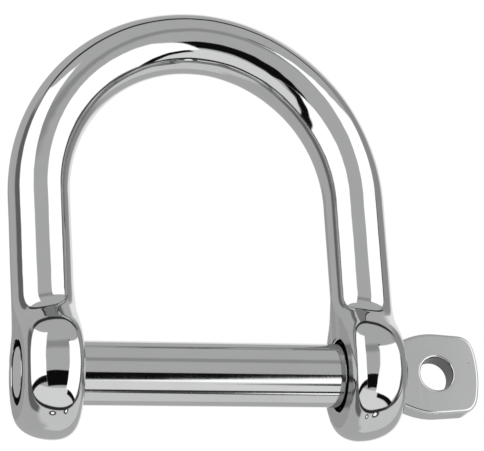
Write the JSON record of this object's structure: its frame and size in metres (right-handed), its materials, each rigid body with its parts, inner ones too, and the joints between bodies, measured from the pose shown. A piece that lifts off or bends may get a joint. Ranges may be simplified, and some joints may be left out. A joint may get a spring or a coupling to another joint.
{
  "type": "bow shackle",
  "caption": "Wide D-form bow shackle with a screw pin: a bent bar with an eye at each end, closed by a threaded pin with a flat eye.",
  "frame": {"origin": "on the pin's axis, at the centre of the pin's threaded end face, which is flush with the outer face of the threaded ear", "axes": "+X along the pin towards its flat eye, the way the pin is drawn out; +Z from the pin to the crown of the bow; Y across the shackle, through its thickness"},
  "size_m": [0.0744, 0.0208, 0.071],
  "materials": {
    "polished_body": "mirror-polished stainless steel",
    "polished_pin": "mirror-polished stainless steel, the flat eye slightly duller"
  },
  "bodies": {
    "bow": {"shackle_body": "polished_body"},
    "pin": {"screw_pin": "polished_pin"}
  },
  "joints": [
    {"name": "pin_draw", "type": "slide", "parent": "bow", "child": "pin", "axis": [1, 0, 0], "range_m": [0, 0.066]}
  ]
}
